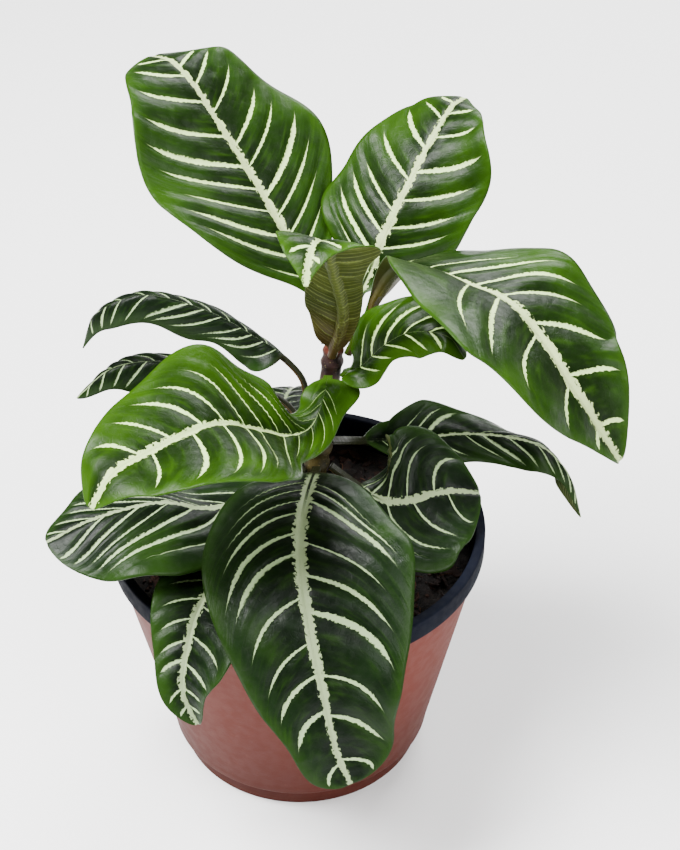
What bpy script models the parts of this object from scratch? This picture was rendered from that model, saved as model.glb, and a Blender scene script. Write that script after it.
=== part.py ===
# Potted zebra plant: plastic pot, soil, leaning stem and fourteen striped leaves.
# Metres, +Z up; the origin is the centre of the pot's underside.

import math

import bmesh
import bpy
import numpy as np
from mathutils import Matrix, Vector

MM = 0.001
GAP = 0.3

# Pot sizes in millimetres
POT_HEIGHT = 110.0
RIM_RADIUS = 75.0
RIM_BAND = 9.0
WALL_TOP_RADIUS = 73.0
WALL_FOOT_RADIUS = 55.0
FOOT_RADIUS = 51.0
FOOT_HEIGHT = 8.0
FOOT_BEND = 6.0
WALL = 2.0
FLOOR = 2.5
POT_SEGMENTS = 72
DRAIN_HOLES = 8
DRAIN_RADIUS = 4.5
DRAIN_CIRCLE = 36.0

# Soil sizes in millimetres; its surface rises a little inside the pot's wall
SOIL_TOP = 96.0
SOIL_RISE = 0.5
SOIL_ROUGHNESS = 0.8
SOIL_RINGS = 5
SOIL_SEGMENTS = 48

# Stem: points on its axis and the radius there, in millimetres
STEM_BOTTOM = 58.0
STEM_ROUTE = (
    (3, 0, 96, 4.6),
    (5, 1, 120, 4.4),
    (9, 3, 145, 4.3),
    (12, 5, 168, 4.0),
    (14, 7, 182, 3.8),
    (15, 8, 192, 3.0),
)
STEM_NODES = (112, 126, 138, 145, 152, 163, 183, 188)
NODE_SWELL = 0.7
NODE_LENGTH = 1.6
STEM_SPACING = 2.0
STEM_SIDES = 16

# Leaf sizes in millimetres
BLADE_THICKNESS = 1.0
STALK_HALF_WIDTH = 1.7
RIB_HALF_WIDTH = 1.7
RIB_DEPTH = 1.6
RIB_REACH = 2.55
TIP_HALF_WIDTH = 0.7
WAVES_PER_BLADE = 2.5
LEFT_WAVE_LEAD = 0.35
FRAME_POINTS = 400
FRAME_SMOOTHING = 25
BLADE_STATIONS = 18
STALK_STATIONS = 3
LAST_SHARE = 0.996
# Places across a leaf: 0 is the midrib, 1 the rib's edge and 2 the margin.
PLACES = (-2.0, -1.66, -1.33, -1.0, 0.0, 1.0, 1.33, 1.66, 2.0)

# Each leaf leaves the stem at a height in mm and a heading in degrees.
# The route lists points along its midrib in mm, from the stalk to the tip.
# Every other list gives evenly spaced values from the blade's base to its tip:
# widths set how full the left and right half are in mm, lifts are their angles
# above the midrib, and curls bend each half on towards its margin.
LEAVES = (
    dict(
        name="leaf_top_left", height=188, heading=118, stalk=14,
        route=((9, 18, 204), (-2, 30, 224), (-16, 45, 244), (-27, 55, 259),
               (-36, 63, 271), (-44, 70, 277), (-52, 80, 275)),
        left_width=(0, 35, 44, 42, 32), right_width=(5, 27, 38, 33, 37),
        left_lift=(14, 6, 0), right_lift=(10, 4, -10), wave=2.0, phase=0.0,
    ),
    dict(
        name="leaf_top_right", height=189, heading=72, stalk=20,
        route=((25, 18, 208), (33, 25, 225), (42, 35, 241), (52, 47, 255),
               (60, 56, 264), (66, 66, 263)),
        left_width=(10, 32, 30, 26, 24), right_width=(8, 28, 28, 28, 8),
        left_lift=(10, 0, -10), right_lift=(-35, -40, -20, -5, 0), wave=2.0, phase=0.3,
    ),
    dict(
        name="leaf_right_large", height=187, heading=-5, stalk=10,
        route=((30, 9, 210), (39, -1, 230), (50, -14, 237), (63, -27, 238),
               (73, -36, 238), (83, -46, 231), (93, -58, 219), (112, -66, 190)),
        left_width=(4, 17, 30, 36, 40, 42, 40, 33, 20),
        right_width=(2, 6, 8, 25, 36, 47, 38, 22, 12),
        left_lift=(-20, -15, -14, -9, -6, -6, 0, 8, 12), right_lift=(60, 18, 15),
        wave=2.0, phase=0.6,
    ),
    dict(
        name="leaf_young", height=189, heading=-95, stalk=3,
        route=((18, -5, 212), (14, -22, 242), (10, -39, 265), (6, -51, 268),
               (4, -60, 260)),
        left_width=(10, 8, 8, 9, 11, 15, 22, 14, 3),
        right_width=(18, 17, 16, 13, 12, 14, 19, 17, 5),
        left_lift=(0, 0, 0), right_lift=(-60, -18, -8, 0, 0, 0, 0, 0, 0),
        wave=1.0, phase=0.0, across=-112,
    ),
    dict(
        name="leaf_right_inner", height=180, heading=-35, stalk=4,
        route=((24, -2, 187), (32, -10, 202), (42, -16, 212), (55, -24, 215),
               (61, -28, 208)),
        left_width=(10, 13, 14, 15, 15, 15, 16, 16, 12),
        right_width=(19, 14, 9, 8, 9, 10, 10, 10, 8),
        left_lift=(90, 54, 46, 42, 32, 20, 10, 0, 0),
        right_lift=(72, -34, -55, -68, -70, -65, -60, -50, -40),
        wave=0.8, phase=0.2, across=-10,
    ),
    dict(
        name="leaf_left_bright", height=180, heading=-105, stalk=2,
        route=((10, -12, 179), (5, -22, 174), (-3, -29, 176), (-13, -36, 184),
               (-28, -48, 196), (-46, -64, 199), (-62, -78, 198), (-69, -86, 190)),
        left_width=(54, 24, 13, 12, 15, 20, 27, 34, 39, 41, 42, 39, 34, 30, 26, 20, 12),
        right_width=(20, 20, 24, 28, 33, 30, 29, 25, 26),
        left_lift=(-40, -48, -22, -6, 4, 2, 0, -3, -5),
        right_lift=(-25, -22, 38, 27, 25, 19, 10, 0, -10),
        wave=2.5, phase=0.1, across=215,
    ),
    dict(
        name="leaf_left_upper", height=163, heading=165, stalk=24,
        route=((4, 8, 174), (-2, 11, 181), (-14, 15, 189), (-33, 18, 200),
               (-58, 20, 206), (-76, 20, 197), (-82, 20, 182)),
        left_width=(30, 20, 14, 14, 13, 13, 11, 9, 5), right_width=(10, 12, 11, 9, 5),
        left_lift=(-50, -50, -50), left_curl=(-50, -50, -50),
        right_lift=(5, -5, 0), right_curl=(-60, -60, -60), wave=1.0, phase=0.4,
    ),
    dict(
        name="leaf_left_lower", height=152, heading=155, stalk=24,
        route=((-4, 14, 160), (-23, 18, 168), (-45, 22, 173), (-60, 22, 174),
               (-72, 20, 172), (-86, 18, 160)),
        left_width=(5, 12, 14, 12, 8), right_width=(5, 12, 14, 12, 8),
        left_lift=(-50, -50, -50), left_curl=(-50, -50, -50),
        right_lift=(0, 0, 0), right_curl=(-60, -60, -60), wave=1.0, phase=0.7,
    ),
    dict(
        name="leaf_back", height=145, heading=140, stalk=14,
        route=((1, 10, 148), (-7, 20, 145), (-6, 36, 141), (-2, 56, 135),
               (2, 78, 119)),
        left_width=(9, 22, 25, 22, 14), right_width=(9, 22, 25, 22, 14),
        left_lift=(10, 0, -10), right_lift=(10, 0, -10), wave=1.5, phase=0.5,
    ),
    dict(
        name="leaf_left_low", height=138, heading=213, stalk=15,
        route=((-11, -10, 135), (-33, -18, 133), (-51, -26, 143), (-74, -34, 143),
               (-94, -40, 136)),
        left_width=(15, 28, 31, 33, 33),
        right_width=(13, 24, 33, 37, 38, 35, 28, 19, 20),
        left_lift=(-5, -20, -25), right_lift=(0, -20, 0), wave=2.0, phase=0.2,
    ),
    dict(
        name="leaf_front_left", height=126, heading=235, stalk=15,
        route=((-12, -18, 122), (-29, -42, 122), (-38, -62, 118), (-42, -75, 108),
               (-43, -82, 99), (-38, -88, 87)),
        left_width=(10, 20, 22, 24, 14), right_width=(8, 18, 18, 14, 10),
        left_lift=(0, 12, 25), right_lift=(0, 12, 25), wave=1.5, phase=0.9,
    ),
    dict(
        name="leaf_front", height=140, heading=-95, stalk=6,
        route=((4, -25, 146), (1, -45, 144), (1, -62, 139), (4, -80, 126),
               (8, -92, 109), (13, -102, 86), (18, -107, 74)),
        left_width=(28, 38, 44, 43, 40, 37, 33, 34, 52),
        right_width=(26, 34, 37, 37, 34, 30, 28, 24, 34),
        left_lift=(0, 0, 0), right_lift=(0, 0, 0), wave=2.0, phase=0.0, across=-86,
    ),
    dict(
        name="leaf_right_low", height=138, heading=-15, stalk=14,
        route=((24, -3, 131), (34, -6, 125), (44, -4, 123), (58, 0, 124),
               (73, 4, 120)),
        left_width=(14, 26, 31, 30, 30, 29, 27, 24, 15),
        right_width=(12, 24, 31, 32, 31, 28, 29, 29, 22),
        left_lift=(5, 25, 35, 30, 20), right_lift=(-25, -30, -20), wave=1.5, phase=0.35,
    ),
    dict(
        name="leaf_right_back", height=145, heading=45, stalk=34,
        route=((34, 38, 121), (52, 44, 117), (68, 40, 122), (87, 27, 130),
               (100, 15, 133), (109, 5, 127), (114, -2, 111)),
        left_width=(7, 18, 18, 11, 13, 13, 12, 12, 8),
        right_width=(6, 16, 17, 15, 13, 12, 12, 8, 3),
        left_lift=(80, 80, 75, 35, -12, -25, -35, -45, -50), left_curl=(0, -40, -40),
        right_lift=(0, -20, -50), right_curl=(-10, -20, -40), wave=1.2, phase=0.1,
    ),
)

# Colours and surface finish of each material
MATERIALS = {
    "plastic_terracotta": ((0.36, 0.12, 0.08), 0.55),
    "soil": ((0.035, 0.022, 0.018), 0.95),
    "stem_green": ((0.16, 0.17, 0.06), 0.55),
    "leaf_green": ((0.03, 0.10, 0.03), 0.35),
    "leaf_bright_green": ((0.10, 0.25, 0.03), 0.35),
}
BRIGHT_LEAVES = ("leaf_young", "leaf_right_inner", "leaf_left_bright")


def spline(points, count):
    """Return evenly spaced points on a smooth curve through the given points."""
    route = np.array(points, float)
    route = np.vstack([2 * route[0] - route[1], route, 2 * route[-1] - route[-2]])
    curve = []
    for i in range(1, len(route) - 2):
        a, b, c, d = route[i - 1:i + 3]
        t1 = np.linalg.norm(b - a) ** 0.5
        t2 = t1 + np.linalg.norm(c - b) ** 0.5
        t3 = t2 + np.linalg.norm(d - c) ** 0.5
        t = np.linspace(t1, t2, 30, endpoint=False)[:, None]
        ab = a + (b - a) * t / t1
        bc = b + (c - b) * (t - t1) / (t2 - t1)
        cd = c + (d - c) * (t - t2) / (t3 - t2)
        abc = ab + (bc - ab) * t / t2
        bcd = bc + (cd - bc) * (t - t1) / (t3 - t1)
        curve.append(abc + (bcd - abc) * (t - t1) / (t2 - t1))
    curve = np.vstack(curve + [route[-2:-1]])
    steps = np.linalg.norm(np.diff(curve, axis=0), axis=1)
    along = np.concatenate([[0.0], np.cumsum(steps)])
    even = np.linspace(0.0, along[-1], count)
    return np.stack([np.interp(even, along, curve[:, k]) for k in range(3)], -1), along[-1]


def smooth(values, share):
    """Return the value at a share of the length, on a smooth curve through the values."""
    spaced = np.array([2 * values[0] - values[1], *values, 2 * values[-1] - values[-2]], float)
    place = np.clip(share, 0, 1) * (len(values) - 1)
    step = np.minimum(np.floor(place).astype(int), len(values) - 2)
    a, b, c, d = [spaced[step + k] for k in range(4)]
    t = place - step
    return (b + (c - a) * t / 2 + (2 * a - 5 * b + 4 * c - d) * t ** 2 / 2
            + (3 * (b - c) + d - a) * t ** 3 / 2)


def stem_axis(height):
    """Return the point on the stem's axis and its radius at a height."""
    table = np.array(STEM_ROUTE, float)
    point = [np.interp(height, table[:, 2], table[:, k]) for k in range(2)]
    radius = np.interp(height, table[:, 2], table[:, 3])
    for node in STEM_NODES:
        radius += NODE_SWELL * math.exp(-((height - node) / NODE_LENGTH) ** 2)
    return np.array([*point, height]), radius


def leaf_frame(leaf):
    """Return dense midrib points with their tangent, side and normal directions."""
    axis, radius = stem_axis(leaf["height"])
    heading = math.radians(leaf["heading"])
    outward = np.array([math.cos(heading), math.sin(heading), 0.0])
    start = axis + outward * (radius + 3 * GAP)
    points, length = spline((tuple(start),) + leaf["route"], FRAME_POINTS)
    tangent = np.gradient(points, axis=0)
    kernel = np.ones(FRAME_SMOOTHING) / FRAME_SMOOTHING
    padded = np.pad(tangent, ((FRAME_SMOOTHING // 2,) * 2, (0, 0)), mode="edge")
    tangent = np.stack([np.convolve(padded[:, k], kernel, "valid") for k in range(3)], -1)
    tangent /= np.linalg.norm(tangent, axis=1)[:, None]
    chord = points[-1] - points[0]
    across = math.radians(leaf["across"]) if "across" in leaf else math.atan2(chord[1], chord[0])
    level = np.array([-math.sin(across), math.cos(across), 0.0])
    side = level - (tangent @ level)[:, None] * tangent
    side /= np.linalg.norm(side, axis=1)[:, None]
    return points, tangent, side, np.cross(tangent, side), length


def half_width(leaf, side, share):
    """Return the blade's half width on one side: an oval, made fuller or slimmer."""
    return smooth(leaf[side + "_width"], share) * np.sqrt(4 * share * (1 - share))


def leaf_section(leaf, frame, along, places):
    """Return upper points, lower points of one cross-section of the leaf."""
    points, tangent, side, normal, length = frame
    row = along / length * (len(points) - 1)
    origin, out, up = [
        np.array([np.interp(row, np.arange(len(a)), a[:, k]) for k in range(3)])
        for a in (points, side, normal)
    ]
    share = max(0.0, (along - leaf["stalk"]) / (length - leaf["stalk"]))
    rib = RIB_DEPTH * (1 - share) ** 0.8
    upper, lower = [], []
    for place in places:
        turn = 1 if place >= 0 else -1
        name = "left" if turn > 0 else "right"
        half = half_width(leaf, name, share)
        half = max(half, STALK_HALF_WIDTH if share < 0.5 else TIP_HALF_WIDTH)
        rib_edge = min(RIB_HALF_WIDTH, half / 2)
        reach = abs(place)
        distance = rib_edge * reach if reach <= 1 else rib_edge + (half - rib_edge) * (reach - 1)
        d = distance / half
        fold = math.radians(smooth(leaf[name + "_lift"], share)) * min(1.0, 10 * share)
        curl = math.radians(smooth(leaf.get(name + "_curl", (0, 0)), share))
        curl = curl if abs(curl) > 0.001 else 0.001
        x = (math.sin(fold + curl * d) - math.sin(fold)) / curl * half
        y = (math.cos(fold) - math.cos(fold + curl * d)) / curl * half
        cycle = WAVES_PER_BLADE * share + leaf["phase"] + (LEFT_WAVE_LEAD if turn > 0 else 0)
        ends = min(1.0, 6 * share) * min(1.0, 6 * (1 - share))
        y += leaf["wave"] * d ** 2 * math.sin(2 * math.pi * cycle) * ends
        bend = (fold + curl * d) * min(1.0, max(0.0, (distance - 1.0) / 6.0))
        down = -up * math.cos(bend) + out * turn * math.sin(bend)
        depth = BLADE_THICKNESS + rib * max(0.0, 1 - (distance / RIB_REACH) ** 2)
        point = origin + out * turn * x + up * y
        upper.append(point)
        lower.append(point + down * depth)
    return upper, lower


def new_object(name, mesh, material):
    """Link a bmesh, given in millimetres, as a smooth object with its material."""
    colour, roughness = MATERIALS[material]
    slot = bpy.data.materials.get(material) or bpy.data.materials.new(material)
    slot.use_nodes = True
    shader = slot.node_tree.nodes["Principled BSDF"]
    shader.inputs["Base Color"].default_value = (*colour, 1.0)
    shader.inputs["Roughness"].default_value = roughness
    shader.inputs["Metallic"].default_value = 0.0
    slot.diffuse_color = (*colour, 1.0)
    bmesh.ops.scale(mesh, verts=mesh.verts[:], vec=(MM, MM, MM))
    bmesh.ops.recalc_face_normals(mesh, faces=mesh.faces[:])
    data = bpy.data.meshes.new(name)
    mesh.to_mesh(data)
    mesh.free()
    data.materials.append(slot)
    data.shade_smooth()
    data.set_sharp_from_angle(angle=math.radians(40))
    obj = bpy.data.objects.new(name, data)
    bpy.context.scene.collection.objects.link(obj)
    return obj


def make_leaf(leaf):
    """Build one leaf as a closed blade with a rib below that runs into its stalk."""
    frame = leaf_frame(leaf)
    blade = frame[4] - leaf["stalk"]
    stations = [leaf["stalk"] * i / STALK_STATIONS for i in range(STALK_STATIONS)]
    for i in range(BLADE_STATIONS + 1):
        even = i / BLADE_STATIONS
        share = 0.65 * even + 0.35 * (0.5 - 0.5 * math.cos(math.pi * even))
        stations.append(leaf["stalk"] + blade * min(share, LAST_SHARE))
    mesh = bmesh.new()
    bmesh.ops.create_grid(mesh, x_segments=len(PLACES) - 1, y_segments=len(stations) - 1)
    bmesh.ops.triangulate(mesh, faces=mesh.faces[:], quad_method="FIXED")
    bmesh.ops.duplicate(mesh, geom=mesh.verts[:] + mesh.edges[:] + mesh.faces[:])
    mesh.verts.ensure_lookup_table()
    below = len(mesh.verts) // 2
    for i, along in enumerate(stations):
        upper, lower = leaf_section(leaf, frame, along, PLACES)
        for j in range(len(PLACES)):
            mesh.verts[i * len(PLACES) + j].co = upper[j]
            mesh.verts[below + i * len(PLACES) + j].co = lower[j]
    rim = [edge for edge in mesh.edges if edge.is_boundary]
    bmesh.ops.bridge_loops(mesh, edges=rim)
    material = "leaf_bright_green" if leaf["name"] in BRIGHT_LEAVES else "leaf_green"
    return new_object(leaf["name"], mesh, material)


def turned(profile, segments):
    """Spin (radius, height) points, which start and end on the axis, into a closed body."""
    mesh = bmesh.new()
    verts = [mesh.verts.new((radius, 0, height)) for radius, height in profile]
    edges = [mesh.edges.new(pair) for pair in zip(verts, verts[1:])]
    bmesh.ops.spin(mesh, geom=verts + edges, cent=(0, 0, 0), axis=(0, 0, 1),
                   angle=2 * math.pi, steps=segments)
    bmesh.ops.remove_doubles(mesh, verts=mesh.verts[:], dist=0.001)
    return mesh


def cut(body, name, spots, radius, low, high, sides):
    """Cut upright round holes through a body at the given spots."""
    mesh = bmesh.new()
    for x, y in spots:
        bmesh.ops.create_cone(
            mesh, cap_ends=True, segments=sides, radius1=radius, radius2=radius,
            depth=high - low, matrix=Matrix.Translation((x, y, (low + high) / 2)))
    cutter = new_object(name, mesh, body.data.materials[0].name)
    cutter.hide_render = True
    cutter.display_type = "WIRE"
    modifier = body.modifiers.new(name, "BOOLEAN")
    modifier.operation = "DIFFERENCE"
    modifier.solver = "EXACT"
    modifier.object = cutter


def wall_radius(height):
    """Return the radius of the pot's outer wall at a height between foot and rim."""
    low = FOOT_HEIGHT + FOOT_BEND
    high = POT_HEIGHT - RIM_BAND
    share = (height - low) / (high - low)
    return WALL_FOOT_RADIUS + (WALL_TOP_RADIUS - WALL_FOOT_RADIUS) * share


def make_pot():
    """Build the pot: foot, tapered wall and rim band in one shell, with drain holes."""
    rim_bottom = POT_HEIGHT - RIM_BAND
    bend = FOOT_HEIGHT + FOOT_BEND
    inner_top = WALL_TOP_RADIUS - WALL
    profile = [
        (0, 0), (FOOT_RADIUS - 1, 0), (FOOT_RADIUS, 1), (FOOT_RADIUS, FOOT_HEIGHT - 1),
        (FOOT_RADIUS + 2, FOOT_HEIGHT), (WALL_FOOT_RADIUS - 0.6, FOOT_HEIGHT + 2),
        (WALL_FOOT_RADIUS, bend), (WALL_TOP_RADIUS, rim_bottom - 0.5),
        (RIM_RADIUS - 0.5, rim_bottom), (RIM_RADIUS, rim_bottom + 1),
        (RIM_RADIUS, POT_HEIGHT - 1), (RIM_RADIUS - 1, POT_HEIGHT),
        (inner_top + 1, POT_HEIGHT), (inner_top, POT_HEIGHT - 1), (inner_top, rim_bottom),
        (WALL_FOOT_RADIUS - WALL, bend), (WALL_FOOT_RADIUS - WALL - 1, FOOT_HEIGHT + 3),
        (FOOT_RADIUS - WALL, FOOT_HEIGHT + 1), (FOOT_RADIUS - WALL, FLOOR), (0, FLOOR),
    ]
    pot = new_object("pot", turned(profile, POT_SEGMENTS), "plastic_terracotta")
    spots = []
    for k in range(DRAIN_HOLES):
        angle = 2 * math.pi * (k + 0.5) / DRAIN_HOLES
        spots.append((DRAIN_CIRCLE * math.cos(angle), DRAIN_CIRCLE * math.sin(angle)))
    cut(pot, "cut_drain_holes", spots, DRAIN_RADIUS, -FLOOR, 2 * FLOOR, 20)


def make_soil():
    """Build the soil, a gap's width inside the pot, with a plain hole for the stem."""
    bend = FOOT_HEIGHT + FOOT_BEND
    foot_edge = FOOT_RADIUS - WALL - GAP
    bend_edge = WALL_FOOT_RADIUS - WALL - GAP
    top_edge = wall_radius(SOIL_TOP) - WALL - GAP
    profile = [
        (0, FLOOR + GAP), (foot_edge, FLOOR + GAP), (foot_edge, FOOT_HEIGHT + 1 + GAP),
        (bend_edge - 1, FOOT_HEIGHT + 3 + GAP), (bend_edge, bend + GAP),
        (top_edge, SOIL_TOP),
    ]
    for k in range(SOIL_RINGS + 1):
        profile.append(((top_edge - 3) * (1 - k / SOIL_RINGS), SOIL_TOP + SOIL_RISE))
    mesh = turned(profile, SOIL_SEGMENTS)
    random = np.random.default_rng(7)
    for vert in mesh.verts:
        if vert.co.z > SOIL_TOP + SOIL_RISE / 2:
            vert.co.z += random.uniform(-SOIL_ROUGHNESS, SOIL_ROUGHNESS)
    soil = new_object("soil", mesh, "soil")
    x, y, _, radius = STEM_ROUTE[0]
    cut(soil, "cut_stem_hole", [(x, y)], radius + GAP, STEM_BOTTOM - GAP,
        SOIL_TOP + 8, STEM_SIDES)


def make_stem():
    """Build the stem from a straight foot in the soil to its pointed top."""
    x, y, foot_height, foot_radius = STEM_ROUTE[0]
    top = STEM_ROUTE[-1][2]
    mesh = bmesh.new()
    rings = [(Vector((x, y, STEM_BOTTOM)), foot_radius)]
    spaced = np.arange(foot_height + STEM_SPACING, top, STEM_SPACING)
    for height in sorted({*spaced, *STEM_NODES}):
        point, radius = stem_axis(height)
        rings.append((Vector(point), radius))
    loops = []
    for point, radius in rings:
        circle = bmesh.ops.create_circle(
            mesh, segments=STEM_SIDES, radius=radius, matrix=Matrix.Translation(point))
        loops.append(list({edge for vert in circle["verts"] for edge in vert.link_edges}))
    for lower, upper in zip(loops, loops[1:]):
        bmesh.ops.bridge_loops(mesh, edges=lower + upper)
    ends = [edge for edge in mesh.edges if edge.is_boundary]
    bmesh.ops.holes_fill(mesh, edges=ends)
    new_object("stem", mesh, "stem_green")


def main():
    for obj in list(bpy.data.objects):
        bpy.data.objects.remove(obj, do_unlink=True)
    make_pot()
    make_soil()
    make_stem()
    for leaf in LEAVES:
        make_leaf(leaf)


main()
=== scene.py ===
import math

import bmesh
import bpy
import numpy as np
from mathutils import Matrix, Vector, noise


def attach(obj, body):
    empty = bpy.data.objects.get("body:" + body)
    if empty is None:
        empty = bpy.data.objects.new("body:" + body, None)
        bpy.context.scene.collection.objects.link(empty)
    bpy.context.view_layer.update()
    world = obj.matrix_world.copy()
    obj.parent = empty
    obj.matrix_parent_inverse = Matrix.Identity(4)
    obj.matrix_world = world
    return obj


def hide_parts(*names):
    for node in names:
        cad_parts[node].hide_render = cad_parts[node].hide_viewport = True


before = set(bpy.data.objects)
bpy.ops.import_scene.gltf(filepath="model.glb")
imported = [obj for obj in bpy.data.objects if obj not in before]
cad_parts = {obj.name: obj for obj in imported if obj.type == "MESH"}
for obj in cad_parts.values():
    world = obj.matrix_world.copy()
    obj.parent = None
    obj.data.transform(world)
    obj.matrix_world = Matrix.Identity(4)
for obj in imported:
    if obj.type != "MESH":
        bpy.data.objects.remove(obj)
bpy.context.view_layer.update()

MM = 0.001
GAP = 0.3
SEED = 11
SHARP_ANGLE = 40

# Pot
POT_HEIGHT = 110.0
RIM_RADIUS = 75.0
RIM_BAND = 9.0
WALL_TOP_RADIUS = 73.0
WALL_FOOT_RADIUS = 55.0
FOOT_RADIUS = 51.0
FOOT_HEIGHT = 8.0
FOOT_BEND = 6.0
FOOT_TUCK = 0.6
FOOT_LEDGE = 1.5
STEP_TUCK = 1.0
STEP_TOP = 3.0
STEP_BOTTOM = 1.0
WALL = 2.0
FLOOR = 2.5
POT_STEPS = 192
DRAIN_HOLES = 8
DRAIN_RADIUS = 4.5
DRAIN_CIRCLE = 36.0
DRAIN_SIDES = 32
POT_ROUNDING = 0.9
ROUNDING_STEPS = 3
ROUNDING_PART = 2.2

# Soil: its top, the lumps and grains on it
SOIL_TOP = 96.0
SOIL_RINGS = 56
SOIL_STEPS = 160
SOIL_EDGE = 1.0
SOIL_SKIN = 0.2
SOIL_LIFT = 0.4
LUMP_HEIGHT = 1.6
LUMP_SCALE = 0.12
GRAIN_HEIGHT = 0.5
GRAIN_SCALE = 0.7
GRAIN_LAYER = 40

# Bark on the soil: how many chips of each kind, and the ranges of their length, of their
# width as a share of it, and of their thickness
FLAKES = dict(count=420, length=(3.5, 10), width=(0.25, 0.55), thick=(0.4, 0.8))
CRUMBS = dict(count=500, length=(1.2, 2.4), width=(0.6, 1), thick=(0.5, 1.0))
CHIP_SIDES = 7
CHIP_TOP = 0.42
CHIP_TILT = 0.22
CHIP_BEND = 0.03
CHIP_RISE = 0.3
CHIP_RAGGED = (0.75, 1.25)
CHIP_DRAWS = 40
CHIP_SHIFT = 16
FLAKE_MARGIN = 5.0
STEM_CLEARANCE = 6.0

# Coir fibres: each is a few steps long, turns a little at each and arches off the soil
FIBRES = 170
FIBRE_STEPS = 7
FIBRE_SIDES = 3
FIBRE_STEP = (0.9, 1.8)
FIBRE_RADIUS = (0.14, 0.3)
FIBRE_TURN = 0.16
FIBRE_LIFT = 0.5
FIBRE_ARCH = 0.8
FIBRE_MARGIN = 9.0
FIBRE_STRAY = 5.0

# Stem: points on its axis and the radius there
STEM_BOTTOM = 58.0
STEM_ROUTE = (
    (3, 0, 96, 4.6),
    (5, 1, 120, 4.4),
    (9, 3, 145, 4.3),
    (12, 5, 168, 4.0),
    (14, 7, 182, 3.8),
    (15, 8, 192, 3.0),
)
STEM_NODES = (112, 126, 138, 145, 152, 163, 183, 188)
NODE_SWELL = 0.7
NODE_LENGTH = 1.6
STEM_SPACING = 0.5
STEM_SIDES = 40
STEM_RIDGES = 0.22
RIDGES_ROUND = 3
RIDGES_ALONG = 0.12

# Leaves
BLADE_THICKNESS = 0.6
MARGIN_THICKNESS = 0.4
MARGIN_THINNING = 6
STALK_HALF_WIDTH = 1.7
TIP_HALF_WIDTH = 0.7
RIB_DEPTH = 2.0
RIB_REACH = 2.4
RIB_TAPER = 0.8
GROOVE_DEPTH = 0.5
GROOVE_REACH = 1.4
PUFF_HEIGHT = 1.4
PUFF_END = 1.02
PUFF_EASE = 0.6
WAVES_PER_BLADE = 2.5
LEFT_WAVE_LEAD = 0.35
CURVE_STEPS = 30
FRAME_POINTS = 400
FRAME_SMOOTHING = 25
STALK_STATIONS = 10
BLADE_STATIONS = 112
STATION_EASE = 0.3
PLACES_PER_HALF = 28
PLACE_EASE = 0.25
LAST_SHARE = 0.998
SMALLEST_CURL = 0.001
SMALLEST_LENGTH = 1e-12

# The folds grow to full size over one in this many parts of the blade, from its base, and so
# does the groove. Waves and puckers do so from both ends.
FOLD_GROWTH = 10
WAVE_GROWTH = 6
GROOVE_GROWTH = 8
FULL_PUFF_WIDTH = 14

# Side veins are numbered from the base. The right ones start after this number, so that
# chance treats them apart from the left ones.
RIGHT_VEIN_START = 20

# Where no side veins are listed, this many start along the blade, a little closer at its base
EVEN_VEINS = 9
EVEN_START = 0.06
EVEN_REACH = 0.9
EVEN_EASE = 1.1
EVEN_OFFSETS = dict(left=0.5, right=0.1)

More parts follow.
